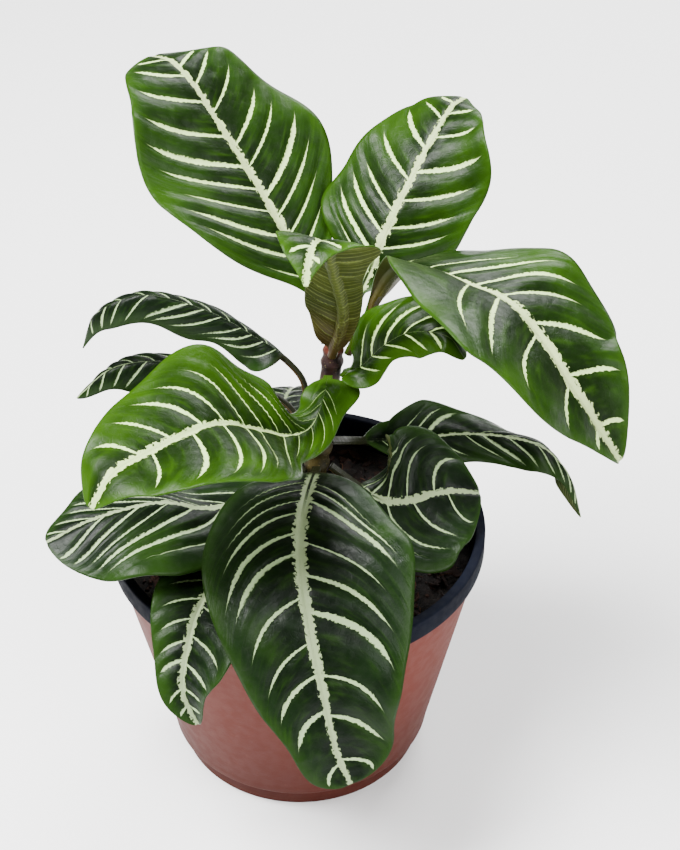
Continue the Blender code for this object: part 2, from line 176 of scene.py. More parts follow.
# Each leaf leaves the stem at a height in mm and a heading in degrees.
# The route lists points along its midrib in mm, from the stalk to the tip.
# Every other list gives evenly spaced values from the blade's base to its tip:
# widths set how full the left and right half are in mm, lifts are their angles
# above the midrib, and curls bend each half on towards its margin.
LEAVES = (
    dict(
        name="leaf_top_left", height=188, heading=118, stalk=14,
        route=((9, 18, 204), (-2, 30, 224), (-16, 45, 244), (-27, 55, 259),
               (-36, 63, 271), (-44, 70, 277), (-52, 80, 275)),
        left_width=(0, 35, 44, 42, 32), right_width=(5, 27, 38, 33, 37),
        left_lift=(14, 6, 0), right_lift=(10, 4, -10), wave=2.0, phase=0.0,
    ),
    dict(
        name="leaf_top_right", height=189, heading=72, stalk=20,
        route=((25, 18, 208), (33, 25, 225), (42, 35, 241), (52, 47, 255),
               (60, 56, 264), (66, 66, 263)),
        left_width=(10, 32, 30, 26, 24), right_width=(8, 28, 28, 28, 8),
        left_lift=(10, 0, -10), right_lift=(-35, -40, -20, -5, 0), wave=2.0, phase=0.3,
    ),
    dict(
        name="leaf_right_large", height=187, heading=-5, stalk=10,
        route=((30, 9, 210), (39, -1, 230), (50, -14, 237), (63, -27, 238),
               (73, -36, 238), (83, -46, 231), (93, -58, 219), (112, -66, 190)),
        left_width=(4, 17, 30, 36, 40, 42, 40, 33, 20),
        right_width=(2, 6, 8, 25, 36, 47, 38, 22, 12),
        left_lift=(-20, -15, -14, -9, -6, -6, 0, 8, 12), right_lift=(60, 18, 15),
        wave=2.0, phase=0.6,
    ),
    dict(
        name="leaf_young", height=189, heading=-95, stalk=3,
        route=((18, -5, 212), (14, -22, 242), (10, -39, 265), (6, -51, 268),
               (4, -60, 260)),
        left_width=(10, 8, 8, 9, 11, 15, 22, 14, 3),
        right_width=(18, 17, 16, 13, 12, 14, 19, 17, 5),
        left_lift=(0, 0, 0), right_lift=(-60, -18, -8, 0, 0, 0, 0, 0, 0),
        wave=1.0, phase=0.0, across=-112,
    ),
    dict(
        name="leaf_right_inner", height=180, heading=-35, stalk=4,
        route=((24, -2, 187), (32, -10, 202), (42, -16, 212), (55, -24, 215),
               (61, -28, 208)),
        left_width=(10, 13, 14, 15, 15, 15, 16, 16, 12),
        right_width=(19, 14, 9, 8, 9, 10, 10, 10, 8),
        left_lift=(90, 54, 46, 42, 32, 20, 10, 0, 0),
        right_lift=(72, -34, -55, -68, -70, -65, -60, -50, -40),
        wave=0.8, phase=0.2, across=-10,
    ),
    dict(
        name="leaf_left_bright", height=180, heading=-105, stalk=2,
        route=((10, -12, 179), (5, -22, 174), (-3, -29, 176), (-13, -36, 184),
               (-28, -48, 196), (-46, -64, 199), (-62, -78, 198), (-69, -86, 190)),
        left_width=(54, 24, 13, 12, 15, 20, 27, 34, 39, 41, 42, 39, 34, 30, 26, 20, 12),
        right_width=(20, 20, 24, 28, 33, 30, 29, 25, 26),
        left_lift=(-40, -48, -22, -6, 4, 2, 0, -3, -5),
        right_lift=(-25, -22, 38, 27, 25, 19, 10, 0, -10),
        wave=2.5, phase=0.1, across=215,
    ),
    dict(
        name="leaf_left_upper", height=163, heading=165, stalk=24,
        route=((4, 8, 174), (-2, 11, 181), (-14, 15, 189), (-33, 18, 200),
               (-58, 20, 206), (-76, 20, 197), (-82, 20, 182)),
        left_width=(30, 20, 14, 14, 13, 13, 11, 9, 5), right_width=(10, 12, 11, 9, 5),
        left_lift=(-50, -50, -50), left_curl=(-50, -50, -50),
        right_lift=(5, -5, 0), right_curl=(-60, -60, -60), wave=1.0, phase=0.4,
    ),
    dict(
        name="leaf_left_lower", height=152, heading=155, stalk=24,
        route=((-4, 14, 160), (-23, 18, 168), (-45, 22, 173), (-60, 22, 174),
               (-72, 20, 172), (-86, 18, 160)),
        left_width=(5, 12, 14, 12, 8), right_width=(5, 12, 14, 12, 8),
        left_lift=(-50, -50, -50), left_curl=(-50, -50, -50),
        right_lift=(0, 0, 0), right_curl=(-60, -60, -60), wave=1.0, phase=0.7,
    ),
    dict(
        name="leaf_back", height=145, heading=140, stalk=14,
        route=((1, 10, 148), (-7, 20, 145), (-6, 36, 141), (-2, 56, 135),
               (2, 78, 119)),
        left_width=(9, 22, 25, 22, 14), right_width=(9, 22, 25, 22, 14),
        left_lift=(10, 0, -10), right_lift=(10, 0, -10), wave=1.5, phase=0.5,
    ),
    dict(
        name="leaf_left_low", height=138, heading=213, stalk=15,
        route=((-11, -10, 135), (-33, -18, 133), (-51, -26, 143), (-74, -34, 143),
               (-94, -40, 136)),
        left_width=(15, 28, 31, 33, 33),
        right_width=(13, 24, 33, 37, 38, 35, 28, 19, 20),
        left_lift=(-5, -20, -25), right_lift=(0, -20, 0), wave=2.0, phase=0.2,
    ),
    dict(
        name="leaf_front_left", height=126, heading=235, stalk=15,
        route=((-12, -18, 122), (-29, -42, 122), (-38, -62, 118), (-42, -75, 108),
               (-43, -82, 99), (-38, -88, 87)),
        left_width=(10, 20, 22, 24, 14), right_width=(8, 18, 18, 14, 10),
        left_lift=(0, 12, 25), right_lift=(0, 12, 25), wave=1.5, phase=0.9,
    ),
    dict(
        name="leaf_front", height=140, heading=-95, stalk=6,
        route=((4, -25, 146), (1, -45, 144), (1, -62, 139), (4, -80, 126),
               (8, -92, 109), (13, -102, 86), (18, -107, 74)),
        left_width=(28, 38, 44, 43, 40, 37, 33, 34, 52),
        right_width=(26, 34, 37, 37, 34, 30, 28, 24, 34),
        left_lift=(0, 0, 0), right_lift=(0, 0, 0), wave=2.0, phase=0.0, across=-86,
    ),
    dict(
        name="leaf_right_low", height=138, heading=-15, stalk=14,
        route=((24, -3, 131), (34, -6, 125), (44, -4, 123), (58, 0, 124),
               (73, 4, 120)),
        left_width=(14, 26, 31, 30, 30, 29, 27, 24, 15),
        right_width=(12, 24, 31, 32, 31, 28, 29, 29, 22),
        left_lift=(5, 25, 35, 30, 20), right_lift=(-25, -30, -20), wave=1.5, phase=0.35,
    ),
    dict(
        name="leaf_right_back", height=145, heading=45, stalk=34,
        route=((34, 38, 121), (52, 44, 117), (68, 40, 122), (87, 27, 130),
               (100, 15, 133), (109, 5, 127), (114, -2, 111)),
        left_width=(7, 18, 18, 11, 13, 13, 12, 12, 8),
        right_width=(6, 16, 17, 15, 13, 12, 12, 8, 3),
        left_lift=(80, 80, 75, 35, -12, -25, -35, -45, -50), left_curl=(0, -40, -40),
        right_lift=(0, -20, -50), right_curl=(-10, -20, -40), wave=1.2, phase=0.1,
    ),
)

# The pale veins of each leaf: left and right list where side veins leave the midrib, as
# shares of the blade, sweep is how far they lean to the tip, from base to tip, bend how
# much they curve, bold how wide they are, and midrib the half width of the pale midrib in
# mm, both from base to tip.
PLAIN_VEINS = dict(sweep=(0.45, 0.45), bend=0.35, bold=(0.6, 1, 1), midrib=(2.3, 1.8, 1.1))
VEINS = {
    "leaf_top_left": dict(
        left=(0.1, 0.17, 0.24, 0.33, 0.41, 0.49, 0.60, 0.725, 0.825, 0.91),
        right=(0.1, 0.17, 0.24, 0.31, 0.38, 0.485, 0.56, 0.685, 0.785, 0.86),
        sweep=(0.5, 0.5), bend=0.3),
    "leaf_top_right": dict(
        left=(0.1, 0.17, 0.265, 0.365, 0.51, 0.66, 0.80, 0.9),
        right=(0.12, 0.205, 0.295, 0.42, 0.55, 0.715, 0.83),
        sweep=(0.5, 0.5), bend=0.3),
    "leaf_right_large": dict(
        left=(0.34, 0.40, 0.47, 0.54, 0.63, 0.765, 0.90),
        right=(0.46, 0.54, 0.655, 0.78, 0.90),
        sweep=(0.4, 0.35), bend=0.4, bold=(0.8, 1.1, 1.1),
        midrib=(0, 0, 0, 0.4, 1.5, 2.9, 3.0, 2.6, 1.5)),
    "leaf_young": dict(midrib=(1.4, 1.6, 1.3)),
    "leaf_right_inner": dict(
        left=(0.11, 0.25, 0.40, 0.56, 0.73), right=(0.11, 0.25, 0.40, 0.56, 0.73),
        sweep=(1.3, 1.3), bend=0.3, bold=(0.5, 0.7, 0.7), midrib=(0, 0)),
    "leaf_left_bright": dict(
        left=(0.05, 0.09, 0.135, 0.18, 0.23, 0.285, 0.38, 0.44, 0.53, 0.635, 0.77),
        right=(0.05, 0.10, 0.15, 0.20, 0.25, 0.30, 0.36, 0.435, 0.515, 0.59, 0.695, 0.80),
        sweep=(1.3, 0.5, 0.3, 0.3, 0.3), bend=0.6, bold=(0.12, 0.2, 0.75, 0.9, 0.9),
        midrib=(0, 0.3, 1.2, 1.8, 2.1, 1.7)),
    "leaf_left_upper": dict(
        left=(0.04, 0.10, 0.15, 0.20, 0.29, 0.365, 0.43, 0.59, 0.70, 0.77, 0.86),
        right=(0.08, 0.17, 0.25, 0.33, 0.41, 0.50, 0.60, 0.70, 0.80, 0.9),
        sweep=(0.4, 0.9, 1.4, 1.2, 1.0), bend=0.6, bold=(0.5, 0.55, 0.5), midrib=(0, 0)),
    "leaf_left_lower": dict(sweep=(0.6, 1.2), bold=(0.5, 0.5), midrib=(0, 0, 0.5)),
    "leaf_back": dict(bold=(0.5, 0.5), midrib=(1.0, 0.8, 0.6)),
    "leaf_left_low": dict(
        left=(0.08, 0.22, 0.35, 0.47, 0.59, 0.74),
        right=(0.1, 0.2, 0.3, 0.42, 0.53, 0.65, 0.78, 0.9),
        sweep=(0.3, 1.1, 1.9, 2.0), bend=0.8, bold=(0.5, 0.75, 0.7),
        midrib=(2.0, 1.6, 1.0, 0.7)),
    "leaf_front_left": dict(
        left=(0.1, 0.25, 0.4, 0.53, 0.65, 0.755, 0.845, 0.915),
        right=(0.08, 0.13, 0.18, 0.24, 0.31, 0.41, 0.50, 0.585, 0.67, 0.74, 0.85, 0.915),
        bold=(0.4, 0.6, 0.75, 0.7), midrib=(1.2, 1.8, 1.8, 1.2)),
    "leaf_front": dict(
        left=(0.08, 0.115, 0.16, 0.31, 0.41, 0.51, 0.68, 0.79, 0.92),
        right=(0.07, 0.115, 0.165, 0.21, 0.28, 0.345, 0.47, 0.59, 0.675, 0.775, 0.93),
        sweep=(0.35, 0.35), bend=0.9, bold=(0.3, 0.5, 1.1, 1.1, 1, 0.8),
        midrib=(2.2, 2.7, 2.5, 2.0, 1.6, 1.1)),
    "leaf_right_low": dict(
        left=(0.03, 0.11, 0.24, 0.40, 0.62), right=(0.08, 0.24, 0.44, 0.72),
        sweep=(0.2, 0.2), bend=0.9, bold=(0.5, 0.7, 0.7), midrib=(1.4, 1.7, 0.9)),
    "leaf_right_back": dict(
        left=(0.155, 0.205, 0.25, 0.45, 0.55, 0.66, 0.77, 0.88),
        right=(0.1, 0.2, 0.29, 0.40, 0.465, 0.57, 0.69, 0.765, 0.83, 0.9),
        sweep=(0.2, 1.1, 2.5, 2.7), bend=0.4, bold=(0.5, 0.4, 0.6, 0.6),
        midrib=(0.5, 0.8, 0.5)),
}

BRIGHT_LEAVES = ("leaf_young", "leaf_right_inner", "leaf_left_bright")
MIDDLE_LEAVES = ("leaf_top_left", "leaf_top_right", "leaf_right_large")

# Leaf paints as sRGB from 0 to 255, from the oldest leaves to the youngest. On the upper
# side new is the yellower green of the margin and patches.
LEAF_PAINTS = {
    "dark": dict(
        upper=dict(dark=(5, 14, 4), light=(13, 29, 8), new=(30, 54, 10),
                   # Painted shade: these vein and midrib paints are darkened for the shade the low
                   # leaves sit in, on top of their own greyer tint. The dark green of the blade is
                   # their own.
                   vein=(146, 168, 122), midrib=(136, 152, 112), stalk=(26, 28, 14)),
        under=dict(dull=(36, 46, 12), pale=(50, 60, 20), line=(110, 124, 70))),
    "middle": dict(
        upper=dict(dark=(9, 24, 2), light=(22, 45, 4), new=(40, 70, 6),
                   vein=(190, 218, 142), midrib=(172, 190, 130), stalk=(40, 56, 12)),
        under=dict(dull=(38, 48, 6), pale=(54, 64, 12), line=(112, 126, 56))),
    "bright": dict(
        upper=dict(dark=(11, 28, 1), light=(24, 48, 1), new=(44, 76, 4),
                   vein=(188, 220, 138), midrib=(176, 200, 130), stalk=(40, 66, 10)),
        under=dict(dull=(44, 52, 8), pale=(60, 68, 14), line=(118, 130, 60))),
}

# Half width of the side veins in mm, and how softly the midrib's edge fades
UPPER_VEIN = 0.85
UPPER_FADE = 0.3
UNDER_VEIN = 0.5
UNDER_FADE = 0.5

# Brown at the base of the undersides, the same on all leaves
UNDER_BASE = (62, 30, 12)

# Studio in metres, degrees and watts
LIGHT_TARGET = (0.0, 0.0, 0.15)
LIGHTS = {
    "key_light": dict(place=(-0.6, -0.2, 1.3), size=0.7, power=84),
    "fill_light": dict(place=(0.9, -0.8, 1.0), size=1.0, power=30),
    "back_light": dict(place=(0.5, 1.1, 1.0), size=0.8, power=28),
}
ROOM_STRENGTH = 0.22
FLOOR_SIZE = 4.0
FLOOR_TONES = (0.93, 0.95)
CAMERA_PLACE = (0.002, -0.546, 0.574)
CAMERA_TILT = 52.7
CAMERA_TURN = -1.56
CAMERA_LENS = 75.7
SENSOR_WIDTH = 36.0


# Shapes of the leaves, by the same rules as the part's source

def spline(points, count):
    """Return evenly spaced points on a smooth curve through the given points."""
    route = np.array(points, float)
    route = np.vstack([2 * route[0] - route[1], route, 2 * route[-1] - route[-2]])
    curve = []
    for i in range(1, len(route) - 2):
        a, b, c, d = route[i - 1:i + 3]
        t1 = np.linalg.norm(b - a) ** 0.5
        t2 = t1 + np.linalg.norm(c - b) ** 0.5
        t3 = t2 + np.linalg.norm(d - c) ** 0.5
        t = np.linspace(t1, t2, CURVE_STEPS, endpoint=False)[:, None]
        ab = a + (b - a) * t / t1
        bc = b + (c - b) * (t - t1) / (t2 - t1)
        cd = c + (d - c) * (t - t2) / (t3 - t2)
        abc = ab + (bc - ab) * t / t2
        bcd = bc + (cd - bc) * (t - t1) / (t3 - t1)
        curve.append(abc + (bcd - abc) * (t - t1) / (t2 - t1))
    curve = np.vstack(curve + [route[-2:-1]])
    steps = np.linalg.norm(np.diff(curve, axis=0), axis=1)
    along = np.concatenate([[0.0], np.cumsum(steps)])
    even = np.linspace(0.0, along[-1], count)
    return np.stack([np.interp(even, along, curve[:, k]) for k in range(3)], -1), along[-1]


def smooth(values, share):
    """Return the value at a share of the length, on a smooth curve through the values."""
    spaced = np.array([2 * values[0] - values[1], *values, 2 * values[-1] - values[-2]], float)
    place = np.clip(share, 0, 1) * (len(values) - 1)
    step = np.minimum(np.floor(place).astype(int), len(values) - 2)
    a, b, c, d = [spaced[step + k] for k in range(4)]
    t = place - step
    return (b + (c - a) * t / 2 + (2 * a - 5 * b + 4 * c - d) * t ** 2 / 2
            + (3 * (b - c) + d - a) * t ** 3 / 2)


def stem_axis(height):
    """Return the point on the stem's axis and its radius at a height."""
    table = np.array(STEM_ROUTE, float)
    point = [np.interp(height, table[:, 2], table[:, k]) for k in range(2)]
    radius = np.interp(height, table[:, 2], table[:, 3])
    for node in STEM_NODES:
        radius += NODE_SWELL * math.exp(-((height - node) / NODE_LENGTH) ** 2)
    return np.array([*point, height]), radius


def leaf_frame(leaf):
    """Return dense midrib points, their side and normal directions, and the leaf's length."""
    axis, radius = stem_axis(leaf["height"])
    heading = math.radians(leaf["heading"])
    outward = np.array([math.cos(heading), math.sin(heading), 0.0])
    start = axis + outward * (radius + 3 * GAP)
    points, length = spline((tuple(start),) + leaf["route"], FRAME_POINTS)
    tangent = np.gradient(points, axis=0)
    kernel = np.ones(FRAME_SMOOTHING) / FRAME_SMOOTHING
    padded = np.pad(tangent, ((FRAME_SMOOTHING // 2,) * 2, (0, 0)), mode="edge")
    tangent = np.stack([np.convolve(padded[:, k], kernel, "valid") for k in range(3)], -1)
    tangent /= np.linalg.norm(tangent, axis=1)[:, None]
    chord = points[-1] - points[0]
    across = math.radians(leaf["across"]) if "across" in leaf else math.atan2(chord[1], chord[0])
    level = np.array([-math.sin(across), math.cos(across), 0.0])
    side = level - (tangent @ level)[:, None] * tangent
    side /= np.linalg.norm(side, axis=1)[:, None]
    return points, side, np.cross(tangent, side), length


def half_width(leaf, side, share):
    """Return the blade's half width on one side: an oval, made fuller or slimmer."""
    return smooth(leaf[side + "_width"], share) * np.sqrt(4 * share * (1 - share))


def leaf_veins(leaf):
    """Return how the pale veins of a leaf run, with evenly spaced ones where none are listed."""
    even = {}
    for side, offset in EVEN_OFFSETS.items():
        steps = (np.arange(EVEN_VEINS) + offset) / EVEN_VEINS
        even[side] = EVEN_START + EVEN_REACH * steps ** EVEN_EASE
    return {**even, **PLAIN_VEINS, **VEINS.get(leaf["name"], {})}


def vein_numbers(veins, side, share, d, half, blade):
    """Number the places on one half by its side veins, and return how far apart those are."""
    starts = np.array(veins[side])
    gaps = np.diff(starts)
    marks = np.concatenate([[starts[0] - gaps[0] / 2], starts, [starts[-1] + gaps[-1] / 2]])
    numbers = np.concatenate([[0.5], np.arange(len(starts)) + 1, [len(starts) + 0.5]])
    steps = np.concatenate([gaps[:1], gaps[:1], gaps, gaps[-1:]])
    sweep = smooth(veins["sweep"], share)
    start = share - (sweep * d + veins["bend"] * d ** 3) * half / blade
    slope = sweep + 3 * veins["bend"] * d ** 2
    spacing = np.interp(start, marks, steps) * blade / np.sqrt(1 + slope ** 2)
    return np.interp(start, marks, numbers), spacing


def leaf_grid(stalk, blade):
    """Return the rows' places along a leaf in mm, and the columns' from -1 to 1 across it."""
    stalk_rows = stalk * np.arange(STALK_STATIONS) / STALK_STATIONS
    even = np.linspace(0, 1, BLADE_STATIONS + 1)
    eased = (1 - STATION_EASE) * even + STATION_EASE * (0.5 - 0.5 * np.cos(math.pi * even))
    along = np.concatenate([stalk_rows, stalk + blade * np.minimum(eased, LAST_SHARE)])
    spread = np.linspace(-1, 1, 2 * PLACES_PER_HALF + 1)
    reach = np.sign(spread) * ((1 - PLACE_EASE) * np.abs(spread) + PLACE_EASE * spread ** 2)
    return along, reach


def add_relief(y, leaf, share, d, half, vein, turn):
    """Return the heights y with the waves, the puckers between veins and the midrib's groove."""
    cycle = WAVES_PER_BLADE * share + leaf["phase"] + np.where(turn > 0, LEFT_WAVE_LEAD, 0)
    ends = np.minimum(1, WAVE_GROWTH * share) * np.minimum(1, WAVE_GROWTH * (1 - share))
    y = y + leaf["wave"] * d ** 2 * np.sin(2 * math.pi * cycle) * ends
    between = vein - np.floor(vein)
    puff = 4 * between * (1 - between) * np.sin(math.pi * np.clip(d * PUFF_END, 0, 1)) ** PUFF_EASE
    full = np.minimum(1, half / FULL_PUFF_WIDTH)
    y = y + PUFF_HEIGHT * (puff - 0.5 * np.sin(math.pi * d)) * ends * full
    grooved = np.minimum(1, GROOVE_GROWTH * share)
    return y - GROOVE_DEPTH * np.exp(-(d * half / GROOVE_REACH) ** 2) * grooved


def leaf_sheet(leaf):
    """Work out the upper and lower skin of a leaf and the places its finish follows."""
    points, side, normal, length = leaf_frame(leaf)
    blade = length - leaf["stalk"]
    along, reach = leaf_grid(leaf["stalk"], blade)
    row = along / length * (len(points) - 1)
    origin, out, up = [
        np.stack([np.interp(row, np.arange(len(a)), a[:, k]) for k in range(3)], -1)[:, None, :]
        for a in (points, side, normal)
    ]
    # share runs from 0 at the blade's base to 1 at its tip, d from 0 at the midrib to 1 at a margin
    share = np.maximum(0.0, (along - leaf["stalk"]) / blade)[:, None]
    narrow = np.where(share < 0.5, STALK_HALF_WIDTH, TIP_HALF_WIDTH)
    shape = np.broadcast_to(share, (len(along), len(reach)))
    d = np.broadcast_to(np.abs(reach)[None, :], shape.shape)
    half, lift, curl, vein, spacing = [np.zeros(shape.shape) for _ in range(5)]
    veins = leaf_veins(leaf)
    folded = np.minimum(1, FOLD_GROWTH * share)
    for name, columns, first in (("left", reach >= 0, 0), ("right", reach < 0, RIGHT_VEIN_START)):
        half[:, columns] = np.maximum(half_width(leaf, name, share), narrow)
        lift[:, columns] = np.radians(smooth(leaf[name + "_lift"], share)) * folded
        curl[:, columns] = np.radians(smooth(leaf.get(name + "_curl", (0, 0)), share))
        number, spacing[:, columns] = vein_numbers(
            veins, name, share, d[:, columns], half[:, columns], blade)
        vein[:, columns] = number + first
    curl = np.where(np.abs(curl) > SMALLEST_CURL, curl, SMALLEST_CURL)
    turn = np.where(reach >= 0, 1, -1)[None, :]
    distance = d * half
    x = (np.sin(lift + curl * d) - np.sin(lift)) / curl * half
    y = (np.cos(lift) - np.cos(lift + curl * d)) / curl * half
    y = add_relief(y, leaf, share, d, half, vein, turn)
    upper = origin + out * (turn * x)[:, :, None] + up * y[:, :, None]
    facing = np.cross(np.gradient(upper, axis=0), np.gradient(upper, axis=1))
    facing /= np.linalg.norm(facing, axis=2)[:, :, None] + SMALLEST_LENGTH
    facing *= np.sign(np.sum(facing * up, axis=2).mean())
    rib = RIB_DEPTH * (1 - shape) ** RIB_TAPER * np.maximum(0, 1 - (distance / RIB_REACH) ** 2)
    depth = BLADE_THICKNESS + (MARGIN_THICKNESS - BLADE_THICKNESS) * d ** MARGIN_THINNING + rib
    lower = upper - facing * depth[:, :, None]
    midrib = np.broadcast_to(smooth(veins["midrib"], share), shape.shape)
    bold = np.broadcast_to(smooth(veins["bold"], share), shape.shape)
    places = dict(vein=vein, spacing=spacing, across=distance * turn, edge=half - distance,
                  share=shape, reach=d, midrib=midrib, bold=bold)
    return upper, lower, places


def finished(name, mesh, materials, node):
    """Link a bmesh, given in millimetres, as a smooth piece that stands for a CAD node."""
    bmesh.ops.scale(mesh, verts=mesh.verts[:], vec=(MM, MM, MM))
    data = bpy.data.meshes.new(name)
    mesh.to_mesh(data)
    mesh.free()
    for material in materials:
        data.materials.append(material)
    data.shade_smooth()
    piece = bpy.data.objects.new(name, data)
    bpy.context.scene.collection.objects.link(piece)
    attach(piece, "root")
    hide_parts(node)
    return piece


def make_leaf(leaf, finishes):
    """Build one leaf: a fine grid for its upper skin, a copy below it, and a rim between."""
    upper, lower, places = leaf_sheet(leaf)
    rows, columns = upper.shape[:2]
    mesh = bmesh.new()
    bmesh.ops.create_grid(mesh, x_segments=columns - 1, y_segments=rows - 1)
    copy = bmesh.ops.duplicate(mesh, geom=mesh.verts[:] + mesh.edges[:] + mesh.faces[:])
    for item in copy["geom"]:
        if isinstance(item, bmesh.types.BMFace):
            item.material_index = 1
    for vert, spot in zip(mesh.verts, np.vstack([upper.reshape(-1, 3), lower.reshape(-1, 3)])):
        vert.co = spot
    rim = [edge for edge in mesh.edges if edge.is_boundary]
    bmesh.ops.bridge_loops(mesh, edges=rim)
    bmesh.ops.recalc_face_normals(mesh, faces=mesh.faces[:])
    tone = "bright" if leaf["name"] in BRIGHT_LEAVES else "dark"
    tone = "middle" if leaf["name"] in MIDDLE_LEAVES else tone
    piece = finished("veined_" + leaf["name"], mesh, finishes[tone], leaf["name"])
    for key, values in places.items():
        attribute = piece.data.attributes.new(key, "FLOAT", "POINT")
        attribute.data.foreach_set("value", np.tile(values.ravel(), 2))


# Stem

def make_stem(material):
    """Build the stem with its swollen joints, from its foot in the soil to its narrower, capped
    top.
    """
    x, y, foot_height, foot_radius = STEM_ROUTE[0]
    top = STEM_ROUTE[-1][2]
    mesh = bmesh.new()
    rings = [(Vector((x, y, STEM_BOTTOM)), foot_radius)]
    for height in np.arange(foot_height, top, STEM_SPACING):
        point, radius = stem_axis(height)
        rings.append((Vector(point), radius))
    loops = []
    for point, radius in rings:
        circle = bmesh.ops.create_circle(
            mesh, segments=STEM_SIDES, radius=radius, matrix=Matrix.Translation(point))
        for vert in circle["verts"]:
            away = (vert.co - point).normalized()
            ridge = noise.noise(Vector((
                away.x * RIDGES_ROUND, away.y * RIDGES_ROUND, vert.co.z * RIDGES_ALONG)))
            vert.co += away * STEM_RIDGES * ridge
        loops.append(list({edge for vert in circle["verts"] for edge in vert.link_edges}))
    for lower, upper in zip(loops, loops[1:]):
        bmesh.ops.bridge_loops(mesh, edges=lower + upper)
    ends = [edge for edge in mesh.edges if edge.is_boundary]
    bmesh.ops.holes_fill(mesh, edges=ends)
    bmesh.ops.recalc_face_normals(mesh, faces=mesh.faces[:])
    piece = finished("jointed_stem", mesh, [material], "stem")


# Pot and soil

def turned(profile, steps):
    """Spin (radius, height) points round the pot's axis into a closed body."""
    mesh = bmesh.new()
    verts = [mesh.verts.new((radius, 0, height)) for radius, height in profile]
    edges = [mesh.edges.new(pair) for pair in zip(verts, verts[1:])]
    bmesh.ops.spin(mesh, geom=verts + edges, cent=(0, 0, 0), axis=(0, 0, 1),
                   angle=2 * math.pi, steps=steps, use_merge=True)
    bmesh.ops.remove_doubles(mesh, verts=mesh.verts[:], dist=0.001)
    bmesh.ops.recalc_face_normals(mesh, faces=mesh.faces[:])
    return mesh


def rounded(corners, radius):
    """Return a (radius, height) outline with all corners but its two ends rounded off."""
    outline = [corners[0]]
    for before, corner, after in zip(corners, corners[1:], corners[2:]):
        before, corner, after = np.array(before), np.array(corner), np.array(after)
        first, last = before - corner, after - corner
        before_length, after_length = np.linalg.norm(first), np.linalg.norm(last)
        reach = min(radius, before_length / ROUNDING_PART, after_length / ROUNDING_PART)
        start = corner + first / before_length * reach
        end = corner + last / after_length * reach
        for t in np.linspace(0, 1, ROUNDING_STEPS + 1):
            outline.append(tuple(start * (1 - t) ** 2 + 2 * corner * t * (1 - t) + end * t ** 2))
    return outline + [corners[-1]]


def wall_radius(height):
    """Return the radius of the pot's outer wall at a height between foot and rim."""
    low = FOOT_HEIGHT + FOOT_BEND
    high = POT_HEIGHT - RIM_BAND
    share = (height - low) / (high - low)
    return WALL_FOOT_RADIUS + (WALL_TOP_RADIUS - WALL_FOOT_RADIUS) * share


def make_pot(wall, dark):
    """Build the pot in one shell: foot, tapered wall and rim band, with drain holes."""
    rim_bottom = POT_HEIGHT - RIM_BAND
    bend = FOOT_HEIGHT + FOOT_BEND
    inner_top = WALL_TOP_RADIUS - WALL
    corners = [
        (0, 0), (FOOT_RADIUS, 0), (FOOT_RADIUS, FOOT_HEIGHT),
        (WALL_FOOT_RADIUS - FOOT_TUCK, FOOT_HEIGHT + FOOT_LEDGE), (WALL_FOOT_RADIUS, bend),
        (WALL_TOP_RADIUS, rim_bottom), (RIM_RADIUS, rim_bottom),
        (RIM_RADIUS, POT_HEIGHT), (inner_top, POT_HEIGHT), (inner_top, rim_bottom),
        (WALL_FOOT_RADIUS - WALL, bend),
        (WALL_FOOT_RADIUS - WALL - STEP_TUCK, FOOT_HEIGHT + STEP_TOP),
        (FOOT_RADIUS - WALL, FOOT_HEIGHT + STEP_BOTTOM), (FOOT_RADIUS - WALL, FLOOR), (0, FLOOR),
    ]
    mesh = turned(rounded(corners, POT_ROUNDING), POT_STEPS)
    # The rim band, the wall's inner side and the floor's top are dark
    for face in mesh.faces:
        centre = face.calc_center_median()
        outward = face.normal.x * centre.x + face.normal.y * centre.y
        inside = outward < -0.1 or (face.normal.z > 0.5 and centre.z < FOOT_HEIGHT)
        face.material_index = 1 if centre.z > rim_bottom + 0.2 or inside else 0
    pot = finished("moulded_pot", mesh, [wall, dark], "pot")
    cutter = bmesh.new()
    for k in range(DRAIN_HOLES):
        angle = 2 * math.pi * (k + 0.5) / DRAIN_HOLES
        spot = Vector((math.cos(angle), math.sin(angle), 0)) * DRAIN_CIRCLE
        bmesh.ops.create_cone(
            cutter, cap_ends=True, segments=DRAIN_SIDES, radius1=DRAIN_RADIUS,
            radius2=DRAIN_RADIUS, depth=4 * FLOOR,
            matrix=Matrix.Scale(MM, 4) @ Matrix.Translation(spot))
    data = bpy.data.meshes.new("drain_holes")
    cutter.to_mesh(data)
    cutter.free()
    tool = bpy.data.objects.new("drain_holes", data)
    bpy.context.scene.collection.objects.link(tool)
    modifier = pot.modifiers.new("drain_holes", "BOOLEAN")
    modifier.operation = "DIFFERENCE"
    modifier.solver = "EXACT"
    modifier.object = tool
    bpy.context.view_layer.update()
    depsgraph = bpy.context.evaluated_depsgraph_get()
    drilled = bpy.data.meshes.new_from_object(pot.evaluated_get(depsgraph))
    pot.modifiers.clear()
    pot.data = drilled
    bpy.data.objects.remove(tool, do_unlink=True)
    drilled.set_sharp_from_angle(angle=math.radians(SHARP_ANGLE))


